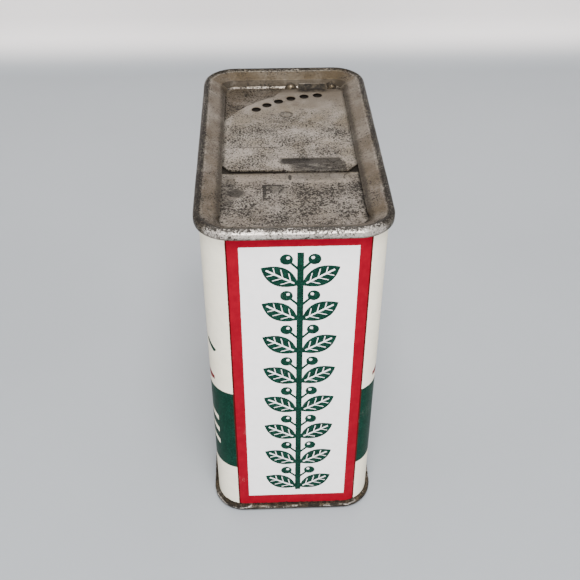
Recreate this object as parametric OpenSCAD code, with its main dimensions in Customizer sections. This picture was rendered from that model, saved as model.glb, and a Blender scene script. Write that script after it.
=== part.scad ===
// Rectangular spice tin: a seamed tinplate body, a countersunk top end with a slide plate, and a bottom end.
// Millimetres, +Z up, origin at the middle of the base. X is the narrow way, Y the long way.

/* [Body] */
// Width of the body across its narrow faces
body_w = 34.6; // [32:0.2:38]
// Length of the body across its broad faces
body_d = 64.6; // [62:0.2:74]
// Overall height, seams included
height = 79.4; // [60:0.2:110]
// Outer radius of the four upright corners
corner_r = 6.2; // [5.8:0.1:7]
// Thickness of the tinplate
sheet = 0.28; // [0.24:0.01:0.3]
// Width of the folded side seam inside the back wall
side_seam_w = 4; // [3:0.5:6]

/* [End seams] */
// How far the rolled seams stand out past the body
seam_out = 1.0; // [0.9:0.05:1.1]
// Height of the rolled seams
seam_h = 2.2; // [1.9:0.1:2.6]
// Radius of the rolled crest
crest_r = 0.4; // [0.3:0.05:0.45]

/* [Top end] */
// Depth of the recess below the rim
top_depth = 3.2; // [3.1:0.05:3.6]
// Radius of the larger stop dome pressed in the far wall
large_dome_r = 1.35; // [1.1:0.05:1.4]
// Radius of the smaller stop dome
small_dome_r = 1.1; // [0.8:0.05:1.2]
// Radius of the round side of the pouring opening
opening_r = 21.2; // [20:0.2:21.4]

/* [Slide plate] */
// Number of sprinkling holes
hole_count = 6; // [3:1:6]
// Diameter of a sprinkling hole
hole_d = 2.05; // [1.6:0.05:2.2]
// Radius of the arc that the holes lie on
hole_arc_r = 23.4; // [23.2:0.1:23.6]
// Thickness of the slide plate
plate_t = 0.3; // [0.26:0.01:0.32]
// Depth that the finger dent is pressed down
dent_depth = 0.2; // [0.1:0.02:0.22]

/* [Bottom end] */
// Height of the bottom panel above the base
bottom_depth = 2.6; // [2.2:0.1:4]

/* [Hidden] */
$fn = 64;
half_w = body_w / 2;
half_d = body_d / 2;
tin_grey = [0.62, 0.59, 0.54];
plate_grey = [0.66, 0.64, 0.6];
// Distances in from the body's outer face: end of the upper slope, foot of the wall, edge of the floor
slope_in = 2.7;
foot_in = 4.0;
floor_in = 4.6;
// Depth below the rim of the end of the upper slope
slope_drop = 1.6;
// Depth below the crest of the slot that takes the body's edge
hook_drop = 0.7;
// The guide along each long side: lip edge and groove back, in from the body's face, and their depths
lip_in = 3.85;
lip_top = 2.25;
groove_in = 3.1;
groove_top = 2.52;
groove_floor = 2.96;
ledge_in = 4.1;
// Slide plate at rest: half width between the lips and in the grooves, far edge and depth of its top
plate_half_w = 13.3;
ear_half_w = 14.1;
plate_far = 26.5;
plate_drop = 2.62;
plate_top = height - plate_drop;
// Centre that the holes, the plate's round corner and the pouring opening share
arc_centre = [9.8, 0.2];
first_hole = 95.8;
hole_step = 7.68;
plate_arc_r = 25.9;
plate_arc_from = 118;
plate_arc_to = 153.1;

function arc(centre, r, from, to, steps) =
    [for (i = [0:steps]) let (a = from + (to - from) * i / steps) centre + r * [cos(a), sin(a)]];

// Outline of a rolled seam from the top of the slope round to the slot for the body's edge
function seam_outline() = concat(
    arc([crest_r - 0.2, -crest_r], crest_r, 180, 90, 5),
    arc([seam_out - crest_r, -crest_r], crest_r, 90, 0, 5),
    arc([seam_out - 0.3, 0.3 - seam_h], 0.3, 0, -90, 4),
    [[0, -seam_h], [0, -hook_drop], [-sheet, -hook_drop], [-sheet, -hook_drop - 0.08]]
);

// Section of a recessed end, its rim at height 0 and its floor at -depth
module end_section(depth) {
    polygon(concat(
        [[-floor_in, -depth], [-foot_in, -depth], [-slope_in, -slope_drop]],
        seam_outline(),
        [
            [-slope_in - 0.1, -slope_drop - 0.38],
            [-foot_in - 0.15, -depth - sheet],
            [-floor_in, -depth - sheet]
        ]
    ));
}

// The same section with a folded guide that holds one side of the slide plate
module guide_section() {
    polygon(concat(
        [
            [-floor_in, -top_depth],
            [-ledge_in, -top_depth],
            [-ledge_in, -groove_floor],
            [-groove_in, -groove_floor],
            [-groove_in, -groove_top],
            [-lip_in, -groove_top],
            [-lip_in, -lip_top],
            [-slope_in, -slope_drop]
        ],
        seam_outline(),
        [
            [-slope_in + 0.1, -slope_drop - 0.38],
            [-slope_in + 0.1, -groove_floor - 0.2],
            [-groove_in, -top_depth - sheet],
            [-floor_in, -top_depth - sheet]
        ]
    ));
}

module side_bars() {
    for (turn = [0, 180])
        rotate([0, 0, turn])
            translate([half_w, 0, 0])
                rotate([90, 0, 0])
                    linear_extrude(body_d - 2 * corner_r, center = true)
                        children();
}

module end_bars() {
    for (turn = [90, 270])
        rotate([0, 0, turn])
            translate([half_d, 0, 0])
                rotate([90, 0, 0])
                    linear_extrude(body_w - 2 * corner_r, center = true)
                        children();
}

module corners() {
    for (side = [0, 1], end = [0, 1])
        mirror([side, 0, 0])
            mirror([0, end, 0])
                translate([half_w - corner_r, half_d - corner_r, 0])
                    rotate_extrude(angle = 90)
                        translate([corner_r, 0])
                            children();
}

// Flat rounded panel whose edge lies inside the body's outer face by the given inset
module panel(inset, thickness) {
    r = corner_r - inset;
    w = body_w - 2 * inset;
    d = body_d - 2 * inset;
    linear_extrude(thickness) {
        square([w - 2 * r, d], center = true);
        square([w, d - 2 * r], center = true);
        for (x = [-1, 1], y = [-1, 1])
            translate([x * (w / 2 - r), y * (d / 2 - r)])
                circle(r);
    }
}

module body_section() {
    translate([-sheet, hook_drop])
        square([sheet, height - 2 * hook_drop]);
}

module body_shell() {
    seam_z = hook_drop + 1;
    groove_w = 0.3;
    groove_depth = 0.1;
    color("ivory")
    difference() {
        union() {
            side_bars() body_section();
            end_bars() body_section();
            corners() body_section();
            translate([-side_seam_w / 2, half_d - 3 * sheet, seam_z])
                cube([side_seam_w, 2.5 * sheet, height - 2 * seam_z]);
        }
        translate([side_seam_w / 2 - groove_w, half_d - groove_depth, seam_h])
            cube([groove_w, 1, height - 2 * seam_h]);
    }
}

module stop_dome(x, r) {
    translate([x, half_d - foot_in, height - top_depth])
        intersection() {
            sphere(r);
            translate([-r, -r, -sheet / 2])
                cube([2 * r, 2 * r, 2 * r]);
        }
}

// Pouring opening: a rectangle cut short by the arc that the sprinkling holes share
module pouring_opening() {
    translate([0, 0, height - top_depth - 1])
        linear_extrude(2)
            intersection() {
                translate(arc_centre)
                    circle(opening_r);
                translate([-8.5, 9.8])
                    square([20.8, 20]);
            }
}

module top_end() {
    color(tin_grey) {
        translate([0, 0, height]) {
            side_bars() guide_section();
            end_bars() end_section(top_depth);
            corners() end_section(top_depth);
        }
        difference() {
            translate([0, 0, height - top_depth - sheet])
                panel(floor_in - 0.2, sheet);
            pouring_opening();
        }
        stop_dome(1.55, large_dome_r);
        stop_dome(11, small_dome_r);
    }
}

module bottom_end() {
    color(tin_grey) {
        mirror([0, 0, 1]) {
            side_bars() end_section(bottom_depth);
            end_bars() end_section(bottom_depth);
            corners() end_section(bottom_depth);
        }
        translate([0, 0, bottom_depth])
            panel(floor_in - 0.2, sheet);
    }
}

module plate_outline() {
    polygon(concat(
        [
            [-ear_half_w, -5.9],
            [-plate_half_w, -6.9],
            [-12, -8.7],
            [11.6, -9.2],
            [plate_half_w, -7.2],
            [ear_half_w, -6.2],
            [ear_half_w, 21.5],
            [plate_half_w, 22.5],
            [plate_half_w, 25.2],
            [12, plate_far],
            [-0.4, plate_far]
        ],
        arc(arc_centre, plate_arc_r, plate_arc_from, plate_arc_to, 24),
        [[-ear_half_w, 9.8]]
    ));
}

module dent_outline(near) {
    polygon([[-0.3, near], [11.3, near], [10.2, -4.7], [-1.7, -4.7]]);
}

module sprinkling_holes() {
    for (i = [0:hole_count - 1])
        translate(arc_centre + hole_arc_r * [cos(first_hole + hole_step * i), sin(first_hole + hole_step * i)])
            translate([0, 0, plate_top - 1])
                cylinder(d = hole_d, h = 2);
}

// Shallow ring left by the press beside the holes
module press_ring() {
    translate([0, 14.3, plate_top - 0.08])
        difference() {
            cylinder(r = 1.5, h = 1);
            cylinder(r = 1.15, h = 3, center = true);
        }
}

// Stop tab bent up from the far edge, leaning towards the far wall
module stop_tab() {
    lean = 0.8;
    rise = 1.3;
    back = plate_far;
    translate([3.2, 0, plate_top])
        rotate([90, 0, 90])
            linear_extrude(6.5)
                polygon([
                    [back - plate_t, -plate_t],
                    [back, -plate_t],
                    [back + lean, rise],
                    [back + lean - plate_t, rise],
                    [back - plate_t, 0]
                ]);
}

module slide_plate() {
    color(plate_grey) {
        difference() {
            translate([0, 0, plate_top - plate_t])
                linear_extrude(plate_t)
                    plate_outline();
            sprinkling_holes();
            press_ring();
            translate([0, 0, plate_top - dent_depth])
                linear_extrude(1)
                    dent_outline(-12);
        }
        translate([0, 0, plate_top - dent_depth - plate_t])
            linear_extrude(plate_t)
                intersection() {
                    dent_outline(-12);
                    plate_outline();
                }
        stop_tab();
    }
}

body_shell();
top_end();
bottom_end();
slide_plate();
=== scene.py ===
"""A spice tin of printed tinplate: finished pieces, finishes and a plain studio, round its frame.

Lengths in the settings are in metres. Mesh and shader code works in millimetres."""

import math

import bmesh
import bpy
from bpy.props import FloatProperty, FloatVectorProperty, IntProperty, PointerProperty
from mathutils import Color, Matrix, Vector


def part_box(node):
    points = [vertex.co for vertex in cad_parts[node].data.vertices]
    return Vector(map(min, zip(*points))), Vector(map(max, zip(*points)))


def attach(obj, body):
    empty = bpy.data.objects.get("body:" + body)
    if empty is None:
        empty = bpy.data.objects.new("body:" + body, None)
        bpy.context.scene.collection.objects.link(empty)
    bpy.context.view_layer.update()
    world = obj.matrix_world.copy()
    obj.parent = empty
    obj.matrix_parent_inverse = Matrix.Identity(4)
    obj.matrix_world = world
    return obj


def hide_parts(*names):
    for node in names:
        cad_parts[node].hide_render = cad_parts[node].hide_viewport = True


bl_info = {
    "name": "Spice Tin",
    "version": (1, 0, 0),
    "blender": (4, 5, 0),
    "location": "View3D > Sidebar > Spice Tin",
    "description": "Builds an old printed spice tin with a slide-plate top",
    "category": "Object",
}

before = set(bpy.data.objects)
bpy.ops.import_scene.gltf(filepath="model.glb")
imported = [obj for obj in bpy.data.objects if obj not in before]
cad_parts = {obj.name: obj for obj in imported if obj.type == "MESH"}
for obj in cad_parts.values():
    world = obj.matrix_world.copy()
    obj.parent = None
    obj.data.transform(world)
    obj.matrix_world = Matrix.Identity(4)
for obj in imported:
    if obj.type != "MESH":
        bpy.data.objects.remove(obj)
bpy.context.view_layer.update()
SHELL_LOW, SHELL_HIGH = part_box("body_shell")
RIM_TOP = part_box("top_end")[1].z
MM = 0.001
UP = Vector((0, 0, 1))

# places on the top end and its slide plate that the meshes and the finishes share, in millimetres
ARC_CENTRE = (9.8, 0.2)  # of the arc of holes, the opening and the plate's cut-away far corner
RING_CENTRE = (0.0, 14.3)


# ---------------------------------------------------------------- settings


def length_setting(name, description, default):
    return FloatProperty(
        name=name,
        description=description,
        default=default,
        unit="LENGTH",
        subtype="DISTANCE",
        precision=5,
    )


def angle_setting(name, description, degrees):
    return FloatProperty(
        name=name,
        description=description,
        default=math.radians(degrees),
        unit="ROTATION",
        subtype="ANGLE",
    )


def power_setting(name, description, default):
    return FloatProperty(name=name, description=description, default=default, min=0, unit="POWER")


def count_setting(name, description, default, low, high):
    return IntProperty(name=name, description=description, default=default, min=low, max=high)


def colour_setting(name, description, default):
    return FloatVectorProperty(
        name=name,
        description=description,
        default=default,
        size=3,
        min=0,
        max=1,
        subtype="COLOR",
    )


class TinSizes(bpy.types.PropertyGroup):
    """Sizes of the tin's pieces"""

    width: length_setting("Width", "Body width across the narrow faces", SHELL_HIGH.x - SHELL_LOW.x)
    depth: length_setting("Depth", "Body depth across the broad faces", SHELL_HIGH.y - SHELL_LOW.y)
    height: length_setting("Height", "Overall height", RIM_TOP)
    corner: length_setting("Corner radius", "Outer radius of the upright corners", 6.2 * MM)
    sheet: length_setting("Sheet", "Thickness of the tinplate", 0.28 * MM)
    seam_out: length_setting("Seam overhang", "How far the rolled seams stand out", 1.0 * MM)
    seam_height: length_setting("Seam height", "Height of the rolled seams", 2.2 * MM)
    top_depth: length_setting("Top recess", "Depth of the top recess", 3.2 * MM)
    base_seam: length_setting("Base seam", "Height of the rolled seam at the base", 1.7 * MM)
    base_depth: length_setting("Base recess", "Depth of the base recess", 2.6 * MM)
    plate_drop: length_setting("Plate drop", "Depth of the slide plate below the rim", 2.62 * MM)
    plate_sheet: length_setting("Plate sheet", "Thickness of the slide plate", 0.3 * MM)
    hole: length_setting("Hole", "Diameter of a sprinkling hole", 2.05 * MM)
    hole_arc: length_setting("Hole arc", "Radius of the arc of holes", 23.4 * MM)
    holes: count_setting("Holes", "Number of sprinkling holes", 6, 3, 6)


class TinPrint(bpy.types.PropertyGroup):
    """Inks and layout of the printed body"""

    cream: colour_setting("Cream", "Ground colour of the sides", (0.74, 0.69, 0.565))
    white: colour_setting("White", "Ground colour of the front panel", (0.80, 0.77, 0.765))
    red: colour_setting("Red", "Frame and ribbon", (0.208, 0.0013, 0.0105))
    green: colour_setting("Green", "Band and sprig", (0.0014, 0.0155, 0.0095))
    band_low: length_setting("Band foot", "Lower edge of the green band", 14.6 * MM)
    band_high: length_setting("Band head", "Upper edge of the green band", 37.9 * MM)
    frame_outer: length_setting("Frame width", "Outer width of the red frame", 26.3 * MM)
    frame_inner: length_setting("Panel width", "Width of the white panel", 21.7 * MM)
    frame_shift: length_setting("Frame shift", "Sideways error of the print", 0.7 * MM)
    panel_low: length_setting("Panel foot", "Lower edge of the white panel", 4.6 * MM)
    panel_high: length_setting("Panel head", "Upper edge of the white panel", 75.15 * MM)
    sprig_tiers: count_setting("Tiers", "Leaf pairs up the sprig", 8, 3, 12)


class TinMetal(bpy.types.PropertyGroup):
    """Colours of the bare tinplate"""

    bright: colour_setting("Bright", "Clean tin", (0.25, 0.222, 0.185))
    warm: colour_setting("Warm", "Yellowed tin", (0.145, 0.118, 0.080))
    brown: colour_setting("Brown", "Lacquered and greasy tin", (0.055, 0.040, 0.0235))
    # the Rubbed colour also paints highlights, and the Dark colour also paints shade
    rubbed: colour_setting("Rubbed", "Tin rubbed bright", (0.66, 0.60, 0.54))
    dark: colour_setting("Dark", "Pits and worn spots", (0.008, 0.0065, 0.005))
    rust: colour_setting("Rust", "Rust in the folds", (0.026, 0.016, 0.011))


class TinStudio(bpy.types.PropertyGroup):
    """Camera and light"""

    distance: length_setting("Distance", "Camera to target", 195.5 * MM)
    azimuth: angle_setting("Azimuth", "Turn of the camera from the narrow front face", -2.36)
    elevation: angle_setting("Elevation", "Height of the camera over the floor", 39.22)
    roll: angle_setting("Roll", "Tilt of the camera about its view", 0.2)
    lens: FloatProperty(name="Lens", description="Focal length", default=52.0, unit="CAMERA")
    key: power_setting("Key", "Softbox over the camera", 6.5)
    front: power_setting("Front", "Low front softbox", 6.5)
    overhead: power_setting("Overhead", "Softbox straight over the tin", 0.8)
    sides: power_setting("Sides", "Each side softbox", 1.0)
    ambient: FloatProperty(name="Ambient", description="Strength of the sky", default=0.2, min=0)
    floor: colour_setting("Floor", "Pale floor", (0.25, 0.265, 0.28))
    wall: colour_setting("Wall", "Pale backdrop", (0.74, 0.70, 0.69))


# ---------------------------------------------------------------- mesh tools


def on_arc(centre, radius, degrees):
    """The point of a circle at an angle."""
    angle = math.radians(degrees)
    return centre[0] + radius * math.cos(angle), centre[1] + radius * math.sin(angle)


def arc(centre, radius, start, stop, steps):
    """Points along an arc, with angles in degrees."""
    return [on_arc(centre, radius, start + (stop - start) * i / steps) for i in range(steps + 1)]


def filleted(points, steps=5):
    """Rounds the corners of an open path of (out, height, radius), all in as many points."""
    path = []
    for i, (out, height, radius) in enumerate(points):
        here = Vector((out, height))
        if radius == 0:
            path.append(here)
            continue
        back = Vector(points[i - 1][:2]) - here
        ahead = Vector(points[i + 1][:2]) - here
        turn = back.angle(ahead)
        reach = min(radius / math.tan(turn / 2), 0.48 * back.length, 0.48 * ahead.length)
        first = here + back.normalized() * reach
        last = here + ahead.normalized() * reach
        for step in range(steps + 1):
            t = step / steps
            path.append(first.lerp(here, t).lerp(here.lerp(last, t), t))
    return path


def advance(bm, chain):
    """Extrudes a chain of vertices and returns the new vertices in the same order."""
    edges = [bm.edges.get(pair) for pair in zip(chain, chain[1:])]
    made = set(bmesh.ops.extrude_edge_only(bm, edges=edges)["geom"])
    return [next(e.other_vert(v) for e in v.link_edges if e.other_vert(v) in made) for v in chain]


def ease(value):
    """A smooth step from 0 to 1."""
    value = max(0.0, min(1.0, value))
    return value * value * (3 - 2 * value)


def sweep_round(bm, section, folded, half_w, half_d, radius, fold_reach=1.7, pitch=2.5):
    """Carries an open section of (out, height) once round a rounded rectangle, in millimetres.

    Along the two long sides the section eases into the folded one, which has as many points."""
    inner_w, inner_d = half_w - radius, half_d - radius
    chain = [bm.verts.new((half_w + p.x, -inner_d, p.y)) for p in section]
    for pair in zip(chain, chain[1:]):
        bm.edges.new(pair)
    corner_steps = 14
    for turn in range(4):
        quarter = Matrix.Rotation(turn * math.pi / 2, 3, "Z")
        outward, along = quarter.col[0], quarter.col[1]
        face, reach = (half_w, inner_d) if turn % 2 == 0 else (half_d, inner_w)
        length = 2 * reach
        ends = [fold_reach * i / 4 for i in range(5)]
        rows = round((length - 2 * fold_reach) / pitch)
        middle = [fold_reach + (length - 2 * fold_reach) * i / rows for i in range(1, rows)]
        for travelled in ends[1:] + middle + [length - end for end in reversed(ends)]:
            fold = 0.0
            if turn % 2 == 0:
                fold = ease(min(travelled, length - travelled) / fold_reach)
            chain = advance(bm, chain)
            for vert, plain, guide in zip(chain, section, folded):
                point = plain.lerp(guide, fold)
                vert.co = outward * (face + point.x) + along * (travelled - reach) + UP * point.y
        centre = outward * (face - radius) + along * reach
        step = Matrix.Rotation(math.pi / 2 / corner_steps, 3, "Z")
        for _ in range(corner_steps):
            chain = advance(bm, chain)
            bmesh.ops.rotate(bm, cent=centre, matrix=step, verts=chain)
    bmesh.ops.remove_doubles(bm, verts=bm.verts, dist=0.0005)


def loop(bm, points, height):
    """A closed loop of edges at one height."""
    verts = [bm.verts.new((x, y, height)) for x, y in points]
    return [bm.edges.new((a, b)) for a, b in zip(verts, verts[1:] + verts[:1])]


def open_edges(bm, height):
    """The open edges that lie at one height."""
    return [e for e in bm.edges if e.is_boundary and all(abs(v.co.z - height) < 0.01 for v in e.verts)]


def fill(bm, edges):
    """Flat faces inside the outer loop of the edges and outside the others."""
    bmesh.ops.triangle_fill(bm, edges=edges, use_beauty=True, use_dissolve=False, normal=UP)


def face_of(bm, edges):
    """One face inside a loop of edges, pointing up."""
    face = bmesh.ops.contextual_create(bm, geom=edges)["faces"][0]
    face.normal_update()
    if face.normal.z < 0:
        face.normal_flip()
    return face


def sink(bm, face, thickness, depth):
    """Insets a face and presses its middle down by the depth."""
    bmesh.ops.inset_region(
        bm, faces=[face], thickness=thickness, depth=-depth, use_even_offset=True, use_boundary=True
    )


def lathe(bm, profile, centre, steps=40):
    """Turns a profile of (radius, height) about an upright axis into a closed solid."""
    verts = [bm.verts.new((centre[0] + r, centre[1], centre[2] + z)) for r, z in profile]
    edges = [bm.edges.new(pair) for pair in zip(verts, verts[1:])]
    bmesh.ops.spin(
        bm, geom=verts + edges, cent=centre, axis=UP, angle=2 * math.pi, steps=steps, use_merge=True
    )
    near = [v for v in bm.verts if (v.co.xy - Vector(centre[:2])).length < 0.0005]
    bmesh.ops.remove_doubles(bm, verts=near, dist=0.0005)


def new_parts(result, kind):
    """The vertices or edges that an extrusion or a spin has made."""
    return [part for part in result if isinstance(part, kind)]


def extruded(bm, edges, offset):
    """Extrudes edges by an offset, and returns the moved vertices and their edges."""
    grown = bmesh.ops.extrude_edge_only(bm, edges=edges)["geom"]
    tips = new_parts(grown, bmesh.types.BMVert)
    bmesh.ops.translate(bm, vec=offset, verts=tips)
    return tips, [e for e in new_parts(grown, bmesh.types.BMEdge) if all(v in tips for v in e.verts)]


def finish_piece(bm, name, material, body, node, smooth_angle=38):
    """Writes a mesh made in millimetres to a piece that stands for a CAD node."""
    bmesh.ops.recalc_face_normals(bm, faces=bm.faces)
    bmesh.ops.scale(bm, vec=(MM, MM, MM), verts=bm.verts)
    mesh = bpy.data.meshes.new(name)
    bm.to_mesh(mesh)
    bm.free()
    mesh.shade_smooth()
    mesh.set_sharp_from_angle(angle=math.radians(smooth_angle))
    mesh.materials.append(material)
    piece = bpy.data.objects.new(name, mesh)
    bpy.context.scene.collection.objects.link(piece)
    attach(piece, body)
    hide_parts(node)
    return piece


# ---------------------------------------------------------------- shader tools


class Nodes:
    """Adds nodes to one tree and returns the sockets that they put out."""

    def __init__(self, tree):
        self.tree = tree

    def feed(self, socket, value):
        if isinstance(value, bpy.types.NodeSocket):
            self.tree.links.new(value, socket)
        else:
            socket.default_value = value

    def add(self, kind, inputs=(), **settings):
        node = self.tree.nodes.new(kind)
        for name, value in settings.items():
            setattr(node, name, value)
        for name, value in dict(inputs).items():
            self.feed(node.inputs[name], value)
        return node

    def math(self, operation, *values):
        node = self.add("ShaderNodeMath", operation=operation)
        for socket, value in zip(node.inputs, values):
            self.feed(socket, value)
        return node.outputs[0]

    def plus(self, a, b):
        return self.math("ADD", a, b)

    def minus(self, a, b):
        return self.math("SUBTRACT", a, b)

    def times(self, a, b):
        return self.math("MULTIPLY", a, b)

    def over(self, a, b):
        return self.math("DIVIDE", a, b)

    def absolute(self, value):
        return self.math("ABSOLUTE", value)

    def vector(self, operation, *values, out=0):
        node = self.add("ShaderNodeVectorMath", operation=operation)
        sockets = [node.inputs["Vector"], node.inputs["Scale"]] if operation == "SCALE" else node.inputs
        for socket, value in zip(sockets, values):
            self.feed(socket, value)
        return node.outputs[out]

    def split(self, vector):
        return self.add("ShaderNodeSeparateXYZ", {"Vector": vector}).outputs

    def join(self, x=0.0, y=0.0, z=0.0):
        return self.add("ShaderNodeCombineXYZ", {"X": x, "Y": y, "Z": z}).outputs[0]

    def ramp(self, value, low, high, start=0.0, stop=1.0):
        """Eases from start to stop as the value goes from low to high."""
        inputs = {"Value": value, "From Min": low, "From Max": high, "To Min": start, "To Max": stop}
        return self.add("ShaderNodeMapRange", inputs, interpolation_type="SMOOTHSTEP").outputs["Result"]

    def mix(self, mask, below, above):
        node = self.add("ShaderNodeMix", data_type="RGBA")
        for index, value in ((0, mask), (6, below), (7, above)):
            if isinstance(value, (tuple, Color)):
                value = (*value, 1.0)
            self.feed(node.inputs[index], value)
        return node.outputs[2]

    def noise(self, position, scale, detail=2.0, roughness=0.5, distortion=0.0):
        inputs = {
            "Vector": position,
            "Scale": scale,
            "Detail": detail,
            "Roughness": roughness,
            "Distortion": distortion,
        }
        return self.add("ShaderNodeTexNoise", inputs).outputs[0]

    def group(self, tree, **inputs):
        """Places a shared group; its inputs are given by their names, with _ for a space."""
        inputs = {name.replace("_", " "): value for name, value in inputs.items()}
        return self.add("ShaderNodeGroup", inputs, node_tree=tree).outputs[0]

    def length(self, x, y):
        return self.vector("LENGTH", self.join(x, y), out=1)

    # masks of flat shapes, 1 inside and 0 outside
    def below(self, value, limit):
        return self.math("LESS_THAN", value, limit)

    def above(self, value, limit):
        return self.math("GREATER_THAN", value, limit)

    def both(self, *masks):
        result = masks[0]
        for mask in masks[1:]:
            result = self.times(result, mask)
        return result

    def either(self, *masks):
        result = masks[0]
        for mask in masks[1:]:
            result = self.math("MAXIMUM", result, mask)
        return result

    def without(self, mask, cut):
        return self.times(mask, self.minus(1.0, cut))

    def between(self, value, low, high):
        return self.both(self.above(value, low), self.below(value, high))

    def disc(self, x, z, centre_x, centre_z, radius):
        return self.below(self.length(self.minus(x, centre_x), self.minus(z, centre_z)), radius)


def shade(colour, factor):
    """A darker or lighter tone of a colour."""
    return tuple(channel * factor for channel in colour)


def new_group(name, inputs):
    """A shader group that puts out one mask. Its inputs are numbers, and Position is a vector."""
    tree = bpy.data.node_groups.new(name, "ShaderNodeTree")
    for label, default in inputs:
        kind = "NodeSocketVector" if label == "Position" else "NodeSocketFloat"
        socket = tree.interface.new_socket(name=label, in_out="INPUT", socket_type=kind)
        if label != "Position":
            socket.default_value = default
    tree.interface.new_socket(name="Mask", in_out="OUTPUT", socket_type="NodeSocketFloat")
    nodes = Nodes(tree)
    return nodes, nodes.add("NodeGroupInput").outputs, nodes.add("NodeGroupOutput").inputs["Mask"]


def shared(builder):
    """Builds a shader group once and returns the same one from then on."""
    name = builder.__name__.replace("_", " ").title()

    def get():
        return bpy.data.node_groups.get(name) or builder(name)

    return get


@shared
def tin_pits(name):
    """Small dark pits, thicker in some clumps than in others."""
    inputs = [("Position", None), ("Grain", 3.0), ("Threshold", 0.6), ("Clumping", 0.3)]
    nodes, given, out = new_group(name, inputs)
    fine = nodes.noise(given["Position"], given["Grain"], detail=3.0, roughness=0.68, distortion=0.4)
    clump = nodes.noise(given["Position"], 0.22, detail=3.0, roughness=0.6)
    swing = nodes.times(nodes.minus(clump, 0.5), given["Clumping"])
    limit = nodes.minus(given["Threshold"], swing)
    nodes.feed(out, nodes.ramp(fine, limit, nodes.plus(limit, 0.05)))
    return nodes.tree


@shared
def fine_scratches(name):
    """Thin scratches along X, here and there."""
    nodes, given, out = new_group(name, [("Position", None), ("Width", 0.012), ("Cover", 0.6)])
    stretched = nodes.vector("MULTIPLY", given["Position"], (0.06, 0.9, 0.9))
    line = nodes.absolute(nodes.minus(nodes.noise(stretched, 1.6, 2.0), 0.5))
    thin = nodes.ramp(line, nodes.times(given["Width"], 0.3), given["Width"], 1.0, 0.0)
    patch = nodes.noise(given["Position"], 0.16, 2.0)
    nodes.feed(out, nodes.both(thin, nodes.ramp(patch, given["Cover"], 0.75)))
    return nodes.tree


@shared
def grime(name):
    """Soft stains with ragged edges."""
    nodes, given, out = new_group(name, [("Position", None), ("Scale", 0.2), ("Cover", 0.5)])
    stain = nodes.noise(given["Position"], given["Scale"], detail=6.0, roughness=0.65, distortion=0.3)
    limit = nodes.minus(1.0, given["Cover"])
    nodes.feed(out, nodes.ramp(stain, nodes.minus(limit, 0.12), nodes.plus(limit, 0.12)))
    return nodes.tree


@shared
def leaf(name):
    """A pointed leaf from the origin along U, with a bare rib and side veins."""
    inputs = [("U", 0.0), ("V", 0.0), ("Length", 8.0), ("Half Width", 2.0), ("Rib", 0.15)]
    nodes, given, out = new_group(name, inputs)
    along = nodes.over(given["U"], given["Length"])
    swell = nodes.times(along, nodes.minus(1.0, along))
    half = nodes.times(nodes.times(swell, 4.0), given["Half Width"])
    side = nodes.absolute(given["V"])
    blade = nodes.above(half, side)
    rib = nodes.both(nodes.below(side, given["Rib"]), nodes.between(along, 0.12, 0.86))
    slant = nodes.minus(given["U"], nodes.times(side, 0.9))
    comb = nodes.math("PINGPONG", slant, 0.85)
    vein = nodes.both(
        nodes.below(comb, nodes.times(given["Rib"], 0.62)),
        nodes.below(side, nodes.times(half, 0.72)),
        nodes.between(along, 0.2, 0.82),
    )
    nodes.feed(out, nodes.without(blade, nodes.either(rib, vein)))
    return nodes.tree


def turned(nodes, x, z, degrees):
    """Coordinates along and across a direction."""
    c, s = math.cos(math.radians(degrees)), math.sin(math.radians(degrees))
    along = nodes.plus(nodes.times(x, c), nodes.times(z, s))
    across = nodes.minus(nodes.times(z, c), nodes.times(x, s))
    return along, across


def new_material(name):
    """A material with a Principled shader, its nodes and the object position in millimetres."""
    material = bpy.data.materials.new(name)
    material.use_nodes = True
    nodes = Nodes(material.node_tree)
    shader = material.node_tree.nodes["Principled BSDF"]
    place = nodes.add("ShaderNodeTexCoord").outputs["Object"]
    return material, nodes, shader, nodes.vector("SCALE", place, 1000.0)


def connect(nodes, shader, colour, roughness, metallic, height, distance, strength):
    nodes.feed(shader.inputs["Base Color"], colour)
    nodes.feed(shader.inputs["Roughness"], roughness)
    nodes.feed(shader.inputs["Metallic"], metallic)
    bump = nodes.add("ShaderNodeBump", {"Height": height, "Distance": distance, "Strength": strength})
    nodes.feed(shader.inputs["Normal"], bump.outputs["Normal"])


# ---------------------------------------------------------------- finishes


def sprig(nodes, x, z, foot, pitch, tiers):
    """A column of leaf pairs with berries on an upright stem."""
    side = nodes.absolute(x)
    climb = nodes.minus(z, foot)
    tier = nodes.minus(nodes.math("MODULO", climb, pitch), 0.9)
    along, across = turned(nodes, nodes.minus(side, 0.3), tier, 31)
    blade = nodes.group(leaf(), U=along, V=across, Length=8.1, Half_Width=2.15, Rib=0.17)
    berry = nodes.without(
        nodes.disc(side, tier, 2.55, 6.0, 1.2),
        nodes.disc(side, tier, 2.25, 6.35, 0.32),
    )
    twig_along, twig_across = turned(nodes, side, nodes.minus(tier, 3.4), 46)
    twig = nodes.both(nodes.below(nodes.absolute(twig_across), 0.26), nodes.between(twig_along, 0.0, 3.2))
    stem = nodes.below(side, 0.62)
    return nodes.both(nodes.either(blade, berry, twig, stem), nodes.between(climb, 0.0, pitch * tiers))


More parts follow.
